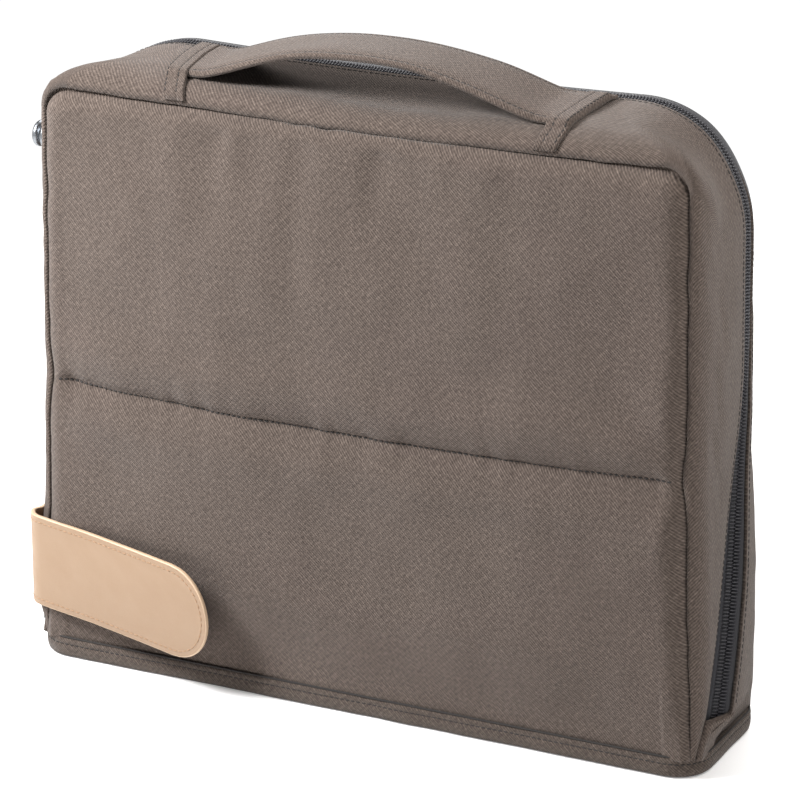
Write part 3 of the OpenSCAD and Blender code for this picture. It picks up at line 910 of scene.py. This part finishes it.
def plan_path(inset, corner_r, step=2.0):
    """Rounded rectangle in plan, from the middle of the back, anticlockwise from above."""
    hx = BASE_W / 2 - inset + BASE_PROUD
    hy = (BACK - FRONT) / 2 - inset
    r = max(corner_r - inset, 1.0)
    points = [(0.0, hy)]
    for cx, cy, start in ((-hx + r, hy - r, 90), (-hx + r, -hy + r, 180),
                          (hx - r, -hy + r, 270), (hx - r, hy - r, 0)):
        for turn in np.linspace(0, 90, 9):
            angle = math.radians(start + turn)
            points.append((cx + r * math.cos(angle), cy + r * math.sin(angle)))
    points.append((0.0, hy))
    line = np.array([(px, py + (BACK + FRONT) / 2, 0.0) for px, py in points])
    placed, along = resample(line, step)
    placed = np.vstack([placed, placed[:1]])
    along = np.vstack([along, along[:1]])
    outward = np.cross(along, np.array([0.0, 0.0, 1.0]))
    return placed, along, outward


BAND_PROFILE = ((0.5, 1.2), (0.95, 3.0), (1.1, 5.0), (1.0, 6.4), (0.72, 7.0), (0.95, 7.7),
                (1.0, 8.8), (0.5, 9.7), (-0.6, 10.1), (-2.6, 9.9), (-3.2, 8.5), (-3.2, 1.0),
                (-2.0, 0.25), (-0.6, 0.3))


BAND_STITCH_OUT = 0.72          # the stitches lie in the groove of the profile
BAND_STITCH_Z = 7.0
# A thin dark cord along the band's top edge: a painted shadow of the seam groove above the binding.
SEAM_SHADOW_OUT = 0.25
SEAM_SHADOW_R = 0.5
SEAM_SHADOW_Z = 10.3


def make_band():
    """The base binding, its stitches and a dark cord along its upper edge, a painted shadow of the seam
    groove.
    """
    placed, _, outward = plan_path(0.2, PLAN_CORNER_R)
    wave = smooth_noise(np.arange(len(placed)) / 9.0, np.zeros(len(placed)), 131) * 0.25
    wave[-1] = wave[0]
    rings = []
    for out, z in BAND_PROFILE:
        ring = placed + outward * (out + wave[:, None])
        ring[:, 2] = z
        rings.append(ring)
    band = tube("base_binding", np.stack(rings, 1), [binding])
    finish_piece(band, "bag", "binding_fabric", "base_band")
    top = placed + outward * (BAND_STITCH_OUT + wave[:, None])
    top[:, 2] = BAND_STITCH_Z
    sew("bag", "base_band_stitches", top, outward)
    turn = np.linspace(0, 2 * math.pi, 9)[:-1]
    out = (SEAM_SHADOW_OUT + SEAM_SHADOW_R * np.cos(turn))[None, :, None]
    seam_shadow = placed[:, None, :] + outward[:, None, :] * out
    seam_shadow[..., 2] = SEAM_SHADOW_Z + SEAM_SHADOW_R * np.sin(turn)[None, :]
    shadow_cord = tube("base_seam_shadow", seam_shadow, [thread_and_shade], caps=False)
    finish_piece(shadow_cord, "bag", "binding_fabric")


BOARD_INSET = 5.0
BOARD_LOW_Z = 2.2
BOARD_HIGH_Z = 5.4


def make_stiffener():
    """The board in the base, with the binding's rounded corners."""
    edge, _, _ = plan_path(BOARD_INSET, PLAN_CORNER_R)
    inner = edge * [0.5, 0.5, 0]
    low = [0, 0, BOARD_LOW_Z]
    high = [0, 0, BOARD_HIGH_Z]
    board = np.stack([inner + low, edge + low, edge + high, inner + high], 1)
    stiffener = tube("base_stiffener", board, [board_grey], caps=False)
    finish_piece(stiffener, "bag", "base_board", "base_board")


BOTTOM_INSET = 1.5              # of the cloth under the base, at the front and the back
BOTTOM_Z = 0.1
FLOOR_Z = 6.6


def make_bottom():
    """The cloth under the base and the lining on the floor inside."""
    t = np.linspace(0, 1, 40)[:, None] * np.ones((1, 60))
    a = np.ones((40, 1)) * np.linspace(-1, 1, 60)[None, :]
    y = FRONT + BOTTOM_INSET + (BACK - FRONT - 2 * BOTTOM_INSET) * t
    from_edge = np.minimum(y - FRONT - BOTTOM_INSET, BACK - BOTTOM_INSET - y)
    near = np.clip(PLAN_CORNER_R - from_edge, 0, PLAN_CORNER_R)
    half = BASE_W / 2 - 2.5 - PLAN_CORNER_R + np.sqrt(PLAN_CORNER_R ** 2 - near ** 2)
    bottom = np.stack([a * half, y, np.full_like(y, BOTTOM_Z)], -1)
    uv = np.stack([bottom[..., 0], bottom[..., 1]], 2)
    sheet = shell("base_cloth", bottom, 1.0, (0, 0, -1), [binding, lining, rim_shade], uv)
    finish_piece(sheet, "bag", "binding_fabric", "base_panel")
    floor = bottom * [0.955, 0.82, 0]
    floor[..., 2] = FLOOR_Z + 0.25 * smooth_noise(floor[..., 0] / 30, floor[..., 1] / 25, 137)
    cloth = shell("floor_lining", floor, 0.9, (0, 0, 1), LINING_CLOTH, uv)
    finish_piece(cloth, "bag", "lining")


make_band()
make_stiffener()
make_bottom()


# ---- Handle ----
HANDLE_LOW, HANDLE_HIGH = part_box("handle_strap")
HANDLE_FRONT = HANDLE_LOW.y / MM
HANDLE_REAR = HANDLE_HIGH.y / MM
HANDLE_RISE = HANDLE_HIGH.z / MM - HEIGHT - 2.8
HANDLE_HALF = 82.0              # half of the arch's span
STRAP_T = 2.9
STRAP_REACH = 96.0              # half of the strap's length
ROW_REACH = 88.0                # half of the length of its stitch rows
ROW_LEVEL = 0.93                # the rows lie at this share of the strap's thickness


def top_surface(x, y):
    """Height of the cover's top at (x, y)."""
    t = np.clip((y - SEAM_Y) / (ZIP_TOP_Y - ZIP_HALF - SEAM_Y), 0, 1)
    x, t = np.broadcast_arrays(x, t)
    return cover_gusset_point(top_share(x, t), t)[..., 2]


def handle_arch(x, y):
    """Height of the strap's underside."""
    u = np.abs(x) / HANDLE_HALF
    lift = HANDLE_RISE * (1 - u ** 2.1)
    lift = 0.5 * (lift + np.sqrt(lift ** 2 + 7.0)) - 0.3
    base = top_surface(np.sign(x) * np.maximum(np.abs(x), HANDLE_HALF), y)
    level = HEIGHT - 0.4 - 0.8 * smooth((HANDLE_FRONT + 9 - y) / 9)
    return level + (base - level) * smooth(u * 1.4 - 0.3) + lift + 0.3


STRAP_PROFILE = ((-1.0, 0.5), (-0.985, 0.84), (-0.955, 1.0), (-0.90, 1.0), (-0.875, 0.9), (-0.85, 1.0),
                 (-0.6, 0.98), (-0.3, 0.96), (0.0, 0.95), (0.3, 0.96), (0.6, 0.98),
                 (0.85, 1.0), (0.875, 0.9), (0.90, 1.0), (0.955, 1.0), (0.985, 0.84), (1.0, 0.5),
                 (0.985, 0.16), (0.955, 0.0), (0.5, 0.03), (0.0, 0.05), (-0.5, 0.03), (-0.955, 0.0),
                 (-0.985, 0.16))


def strap_surface(x, share):
    """A point of the strap at x, share -1..1 across, and its up direction in the x-z plane."""
    y = (HANDLE_FRONT + HANDLE_REAR) / 2 + share * (HANDLE_REAR - HANDLE_FRONT) / 2
    y = y + 2.0 * smooth((np.abs(x) - 66) / 30)
    z = handle_arch(x, y)
    slope = handle_arch(x + 0.5, y) - handle_arch(x - 0.5, y)
    up = np.stack([-slope, np.zeros_like(slope), np.ones_like(slope)], -1)
    up /= np.linalg.norm(up, axis=-1, keepdims=True)
    bow = smooth_noise(x / 38, share * 1.3, 151) * 0.5
    return np.stack([x, y, z + bow], -1), up


def make_handle():
    """The strap handle with two rows of stitches."""
    x = np.linspace(-STRAP_REACH, STRAP_REACH, 220)
    rings = []
    for share, level in STRAP_PROFILE:
        point, up = strap_surface(x, np.full_like(x, share))
        rings.append(point + up * STRAP_T * level)
    strap = tube("handle_webbing", np.stack(rings, 1), [fabric])
    finish_piece(strap, "cover", "woven_fabric", "handle_strap", "handle_strap_lining")
    x = np.linspace(-ROW_REACH, ROW_REACH, 280)
    for number, share in enumerate((-0.875, 0.875)):
        point, up = strap_surface(x, np.full_like(x, share))
        sew("cover", f"handle_stitches_{number}", point + up * STRAP_T * ROW_LEVEL, up)


make_handle()

ANCHOR_HALF = 5.8
ANCHOR_X = 95.0
ANCHOR_SPLAY = 4.5
ANCHOR_T = 1.6
ANCHOR_ROWS = (0.30, -0.72)     # places of the stitch rows across a strip, 1 on its inner edge


def anchor_point(side, across, t):
    """A point on the gusset under an anchor strip, t from the front seam to the zip."""
    x = side * (ANCHOR_X - 1.2 + ANCHOR_SPLAY * t) + across
    return cover_gusset_point(top_share(x, t), t)


def anchor_normals(side, across, t):
    """Normals of the gusset under an anchor strip."""
    step = 0.01
    du = anchor_point(side, across + 0.5, t) - anchor_point(side, across - 0.5, t)
    after = anchor_point(side, across, np.minimum(t + step, 1))
    dv = after - anchor_point(side, across, np.maximum(t - step, 0))
    n = np.cross(du, dv)
    return n / np.linalg.norm(n, axis=-1, keepdims=True)


def make_anchor(side, name):
    """A strip sewn down across one end of the handle."""
    t = spaced(0.005, 0.985, 44)[:, None]
    a = np.linspace(-1, 1, 27)[None, :]
    t, a = np.broadcast_arrays(t, a)
    inward = -side * a
    y = SEAM_Y + (ZIP_TOP_Y - ZIP_HALF - SEAM_Y) * t
    over_strap = smooth((y - HANDLE_FRONT + 0.5) / 3) * smooth((HANDLE_REAR + 4 - y) / 3)
    over_strap = over_strap * smooth((inward + 1.15) / 0.5)
    lift = ANCHOR_T * (1 - np.clip((np.abs(a) - 0.86) / 0.14, 0, 1) ** 2 * 0.85) + over_strap * 2.3
    lift = lift - 0.35 * sum(np.exp(-((inward - place) / 0.05) ** 2) for place in ANCHOR_ROWS)
    points = anchor_point(side, a * ANCHOR_HALF, t)
    normals = anchor_normals(side, a * ANCHOR_HALF, t)
    outer = points + normals * lift[..., None]
    strip = shell(name + "_strip", outer, lift + 0.6, (0, 0, 1), CLOTH)
    finish_piece(strip, "cover", "woven_fabric", name)
    for number, place in enumerate(ANCHOR_ROWS):
        column = int(round((1 - side * place) / 2 * (a.shape[1] - 1)))
        sew("cover", f"{name}_stitches_{number}", outer[1:-1, column], normals[1:-1, column])


make_anchor(-1, "handle_anchor_left")
make_anchor(1, "handle_anchor_right")


# ---- Leather belt ----
ROOT_LOW, ROOT_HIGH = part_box("belt_root_patch")
BELT_LOW_Z = ROOT_LOW.z / MM
BELT_W = (ROOT_HIGH.z - ROOT_LOW.z) / MM
BELT_TIP_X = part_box("belt_face")[1].x / MM
BELT_T = 2.2
BELT_R = 10.5                   # middle of the leather round the bag's corner
BELT_CORNER = (5.5 - BASE_W / 2, FRONT + 9.0)
BELT_LIFT = math.radians(9)
BELT_ARC = BELT_R * (math.pi / 2 - BELT_LIFT)
BELT_FREE = (BELT_TIP_X - BELT_CORNER[0] + BELT_R * math.sin(BELT_LIFT)) / math.cos(BELT_LIFT)


def belt_line(run):
    """Plan position and outward direction at run along the belt; 0 is where the bend begins."""
    run = np.asarray(run, float)
    turn = np.clip(run / BELT_R, 0, math.pi / 2 - BELT_LIFT)
    angle = math.pi + turn
    x = BELT_CORNER[0] + BELT_R * np.cos(angle)
    y = BELT_CORNER[1] + BELT_R * np.sin(angle)
    beyond = np.maximum(run - BELT_ARC, 0)
    before = np.minimum(run, 0)
    x = x + beyond * math.cos(BELT_LIFT)
    y = y - beyond * math.sin(BELT_LIFT) - before
    y = y - 2.6 * (beyond / BELT_FREE) ** 2.2
    return x, y, np.cos(angle), np.sin(angle)


def belt_point(run, height, lift):
    """A point of the belt: height 0..1 across it and lift out from its middle."""
    x, y, nx, ny = belt_line(run)
    z = BELT_LOW_Z + BELT_W * height
    beyond = np.clip(run - BELT_ARC, 0, None) / BELT_FREE
    z = z + 3.5 - 8.0 * beyond
    cup = (height - 0.5) * 2
    bowl = -1.3 * (cup ** 2) * smooth(beyond * 3)
    lean = (half_width(z) - BASE_W / 2 - 0.8) * smooth(-run / 6 + 0.6)
    total = lift + bowl
    return np.stack([x + nx * total - lean, y + ny * total, z], -1)


def belt_end(height):
    """Run of the belt's rounded tip at a height 0..1 across it."""
    half = BELT_W / 2
    off = np.clip(np.abs(height - 0.5) * BELT_W, 0, half)
    r = half * 0.98
    return BELT_ARC + BELT_FREE - r + np.sqrt(np.clip(r ** 2 - (off * 0.98) ** 2, 0, None))


def belt_start(height):
    """Run of the belt's sewn end, which follows the zip's edge."""
    z = BELT_LOW_Z + BELT_W * height
    rear = zip_y(z) - ZIP_HALF - 0.6
    return -(rear - BELT_CORNER[1])


def belt_grid(inset, lift, runs=130, heights=40):
    """Points of the belt's face or back, inset from its outline."""
    low = inset / BELT_W
    h = spaced(low, 1 - low, heights, 0.6)[None, :]
    s = spaced(0, 1, runs, 0.5)[:, None]
    stretched = (h - 0.5) * BELT_W / (BELT_W - 2 * inset) + 0.5
    start = belt_start(h) + inset
    end = belt_end(stretched) - inset
    run = start + (end - start) * s
    return belt_point(run, h * np.ones_like(s), lift)


def belt_outline(inset, count=90):
    """The stitch line's path: along the lower edge, round the tip and back."""
    low = inset / BELT_W
    half = BELT_W / 2 - inset
    centre_run = BELT_ARC + BELT_FREE - BELT_W / 2
    lower = np.linspace(-12, centre_run, count)
    tip = np.linspace(-math.pi / 2, math.pi / 2, 40)[1:-1]
    run = np.concatenate([lower, centre_run + half * np.cos(tip), lower[::-1]])
    height = np.concatenate([np.full(count, low), 0.5 + half * np.sin(tip) / BELT_W,
                             np.full(count, 1 - low)])
    return run, height


def bend_belt(obj, *nodes):
    """Cloth and leather that sit on the gusset behind the bend: bakes the transform in place and hides
    the named CAD nodes; nothing makes them swing with the belt.
    """
    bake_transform(obj)
    if nodes:
        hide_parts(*nodes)


def recalculate(obj):
    """Turns all faces of a closed mesh outward."""
    mesh = bmesh.new()
    mesh.from_mesh(obj.data)
    bmesh.ops.recalc_face_normals(mesh, faces=mesh.faces[:])
    mesh.to_mesh(obj.data)
    mesh.free()


def make_belt():
    """The leather belt: face, back and rounded edges, with its stitches."""
    half = BELT_T / 2
    layers = [belt_grid(0.5, half), belt_grid(0.12, half - 0.25), belt_grid(0.0, half - 0.65),
              belt_grid(0.0, -half + 0.65), belt_grid(0.12, -half + 0.25), belt_grid(0.5, -half)]
    rows, columns = layers[0].shape[:2]
    loop = border_loop(rows, columns)
    ring_count = len(loop)
    verts = [layers[0].reshape(-1, 3), layers[-1].reshape(-1, 3)]
    uv = grid_uv(layers[0]).reshape(-1, 2)
    uvs = [uv, uv]
    count = rows * columns
    faces = [grid_faces(rows, columns, 0), grid_faces(rows, columns, count, flip=True)]
    slots = [np.zeros(len(faces[0])), np.ones(len(faces[1]))]
    starts = [loop]
    at = 2 * count
    for layer in layers[1:-1]:
        verts.append(layer.reshape(-1, 3)[loop])
        uvs.append(uv[loop])
        starts.append(at + np.arange(ring_count))
        at += ring_count
    starts.append(loop + count)
    for a, b in zip(starts[:-1], starts[1:]):
        faces.append(np.stack([a, b, np.roll(b, -1), np.roll(a, -1)], 1))
        slots.append(np.full(ring_count, 2))
    belt = build("leather_belt", np.concatenate(verts), np.concatenate(faces), np.concatenate(uvs),
                 np.concatenate(slots), [tan, tan_back, tan_edge])
    recalculate(belt)
    bend_belt(belt, "belt_face", "belt_backing", "belt_root_patch")
    run, height = belt_outline(3.1)
    points = belt_point(run, height, half)
    _, _, nx, ny = belt_line(run)
    normals = np.stack([nx, ny, np.zeros_like(nx)], -1)
    bend_belt(stitch_line("belt_stitches", points, normals, tan_thread_and_shade, 3.0, 2.2, 0.36))


make_belt()


# ---- Snap stud ----
def lathe(name, centre, axis, profile, materials, sides=48):
    """A turned part: profile holds (radius, height) from the foot to the tip."""
    axis = np.array(axis, float)
    axis /= np.linalg.norm(axis)
    side = np.cross(axis, [0.0, 1.0, 0.0])
    side /= np.linalg.norm(side)
    other = np.cross(axis, side)
    angle = np.arange(sides) * 2 * math.pi / sides
    circle = side * np.cos(angle)[:, None] + other * np.sin(angle)[:, None]
    rings = np.stack([np.array(centre) + axis * h + circle * max(r, 0.02) for r, h in profile])
    return tube(name, rings, materials)


STUD_LOW, STUD_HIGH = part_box("snap_stud")
STUD_Y = (STUD_LOW.y + STUD_HIGH.y) / 2 / MM
STUD_Z = (STUD_LOW.z + STUD_HIGH.z) / 2 / MM
STUD_PROFILE = ((6.8, -2.0), (6.9, 0.4), (6.6, 1.1), (5.4, 1.5), (4.4, 1.8), (4.2, 2.4), (4.6, 2.9),
                (5.9, 3.2), (6.3, 3.9), (6.2, 5.0), (5.5, 5.9), (4.0, 6.4), (2.0, 6.6), (0.02, 6.65))


def make_stud():
    """The snap stud on the left wall."""
    lean = (BASE_W - TOP_W) / 2 / HEIGHT
    share = SIDE_SHARE * (STUD_Z - FOOT_H) / (HEIGHT - 30 - FOOT_H)
    on_wall = cover_gusset_point(share, (STUD_Y - SEAM_Y) / (ZIP_TOP_Y - ZIP_HALF - SEAM_Y))
    centre = (on_wall[0] + 0.6, STUD_Y, STUD_Z)
    stud = lathe("snap_stud_turned", centre, (-1, 0, lean), STUD_PROFILE, [gunmetal])
    finish_piece(stud, "cover", "gunmetal", "snap_stud")


make_stud()


# ---- Inside: laptop divider and slip pocket ----
def make_divider():
    """The padded laptop divider; hands over the depth of its middle."""
    low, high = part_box("laptop_divider")
    a = spaced(-1, 1, 120, 0.3)[None, :]
    b = spaced(0, 1, 70, 0.3)[:, None]
    x = a * (high.x / MM - 1.0)
    z = low.z / MM + 0.6 + b * (high.z / MM - low.z / MM - 0.8) + 0 * a
    edge = np.minimum((1 - np.abs(a)) * 150, (1 - b) * 180)
    thick = 2.0 * np.sqrt(np.clip(edge / 5, 0.04, 1))
    centre = (low.y + high.y) / 2 / MM
    wave = smooth_noise(x / 40, z / 40, 163) * 0.4
    y = centre - thick + wave
    points = np.stack([x + 0 * z, y, z], -1)
    divider = shell("divider_padded", points, 2 * thick, (0, -1, 0), LINING_CLOTH,
                    np.stack([x + 0 * z, z], 2))
    finish_piece(divider, "bag", "lining", "laptop_divider")
    return centre


def make_pocket(centre):
    """The slip pocket on the divider, whose middle lies at depth centre."""
    low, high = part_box("slip_pocket")
    a = spaced(-1, 1, 60)[None, :]
    b = spaced(0, 1, 44)[:, None]
    x = a * high.x / MM + 0 * b
    z = low.z / MM + b * (high.z - low.z) / MM + 0 * a
    slack = np.clip((1 - np.abs(a)) * 8, 0, 1) * smooth(b * 5)
    y = centre - 2.6 - slack * (0.9 + 0.8 * b ** 2)
    points = np.stack([x, y, z], -1)
    pocket = shell("slip_pocket_cloth", points, 0.9, (0, -1, 0), LINING_CLOTH, np.stack([x, z], 2))
    finish_piece(pocket, "bag", "lining", "slip_pocket")


make_pocket(make_divider())


# ---- Stitch rows on the walls ----
def front_stitches(points):
    """The quilting row across the front panel, in its groove."""
    quilt = quilt_height(points[..., 0])
    line = []
    for column in range(6, points.shape[1] - 6):
        height = quilt[points.shape[0] // 2, column]
        line.append([np.interp(height, points[:, column, 2], points[:, column, k]) for k in range(3)])
    line = np.array(line)
    normals = np.tile([0.0, -1.0, 0.0], (len(line), 1))
    return stitch_line("quilting_stitches", line, normals, thread_and_shade, width=0.5)


finish_piece(front_stitches(front_points), "cover", "woven_fabric")


def gusset_stitches(name, points, from_edge, at_start):
    """A row along the gusset's zip edge, from_edge millimetres in."""
    grid = points if at_start else points[:, ::-1]
    across = np.linalg.norm(np.diff(grid, axis=1), axis=2)
    distance = np.concatenate([np.zeros((len(grid), 1)), np.cumsum(across, axis=1)], axis=1)
    line = np.array([[np.interp(from_edge, distance[i], grid[i, :, k]) for k in range(3)]
                     for i in range(len(grid))])
    middle = np.array([0, 0, HEIGHT * 0.4])
    column = int(np.argmin(np.abs(distance[len(grid) // 2] - from_edge)))
    normals = grid_normals(grid)[:, column]
    flip = np.sign(np.sum(normals * (line - middle) * [1, 0, 1], axis=1, keepdims=True))
    keep = line[:, 2] > ZIP_END_H + 2
    return stitch_line(name, line[keep], (normals * flip)[keep], thread_and_shade)


EDGE_ROW = 2.4
cover_row = gusset_stitches("cover_edge_stitches", cover_points, EDGE_ROW, False)
finish_piece(cover_row, "cover", "woven_fabric")
body_row = gusset_stitches("body_edge_stitches", body_points, EDGE_ROW, True)
finish_piece(body_row, "bag", "woven_fabric")


# ---- Stage, light and camera ----
FLOOR_R = 850.0                 # the lit floor; a plain white surround carries on from its edge
SURROUND_R = 9000.0
SURROUND_H = 1300.0


def glowing(name, colour, strength):
    """A matt surface that also gives off white light."""
    return Nodes(name).shade(Base_Color=colour, Roughness=0.9, Emission_Color=(1, 1, 1, 1),
                             Emission_Strength=strength)


def turned(name, profile, material, sides=64):
    """A surface of revolution about Z through (radius, height) points."""
    angles = np.linspace(0, 2 * math.pi, sides + 1)
    points = np.array([[(r * math.cos(a), r * math.sin(a), z) for a in angles] for r, z in profile])
    return build(name, points.reshape(-1, 3), grid_faces(len(profile), sides + 1), None, None, [material])


def make_stage():
    """A lit floor disc inside a white surround."""
    paper = glowing("backdrop_paper", (0.82, 0.82, 0.82, 1), 0.26)
    white = glowing("backdrop_white", (0, 0, 0, 1), 1.0)
    floor = turned("floor", ((1.0, 0.0), (FLOOR_R, 0.0)), paper)
    ring = ((FLOOR_R, 0.0), (SURROUND_R, 0.0), (SURROUND_R, SURROUND_H))
    surround = turned("surround", ring, white)


def add_light(name, place, target, size, watts, colour=(1, 1, 1)):
    """A rectangular light at place, aimed at target."""
    data = bpy.data.lights.new(name, "AREA")
    data.shape = "RECTANGLE"
    data.size, data.size_y = size
    data.energy = watts
    data.color = colour
    light = link(data, name)
    light.location = place
    aim = Vector(target) - Vector(place)
    light.rotation_euler = aim.to_track_quat("-Z", "Y").to_euler()


def make_lights():
    """The four lights and the dim room around them."""
    centre = (0, 0, 0.16)
    add_light("key", (-0.55, -0.42, 0.72), (-0.08, 0, 0.24), (0.3, 0.3), 20)
    add_light("overhead", (-0.1, 0.15, 1.3), centre, (0.9, 0.9), 1.0)
    add_light("side_fill", (0.5, -0.05, 0.62), (0.17, 0, 0.27), (0.3, 0.3), 2.8, (1, 0.96, 0.92))
    add_light("floor_wash", (0.0, 1.6, 2.0), (0, 0.9, 0.3), (2.6, 1.2), 60)
    world = bpy.data.worlds.new("soft_room")
    world.use_nodes = True
    background = world.node_tree.nodes["Background"]
    background.inputs["Color"].default_value = (1, 1, 1, 1)
    background.inputs["Strength"].default_value = 0.04
    bpy.context.scene.world = world
    bpy.context.scene.view_settings.view_transform = "Standard"


def make_camera():
    azimuth, elevation, distance = math.radians(25.97), math.radians(19.79), 1.835
    target = Vector((0.0047, 0, 0.1445))
    back = Vector((math.sin(azimuth) * math.cos(elevation),
                      -math.cos(azimuth) * math.cos(elevation), math.sin(elevation)))
    data = bpy.data.cameras.new("camera")
    data.sensor_width = 36
    data.lens = 178.4
    data.clip_start = 0.05
    data.clip_end = 20
    camera = link(data, "camera")
    camera.location = target + back * distance
    camera.rotation_euler = (-back).to_track_quat("-Z", "Y").to_euler()
    bpy.context.scene.camera = camera


make_stage()
make_lights()
make_camera()
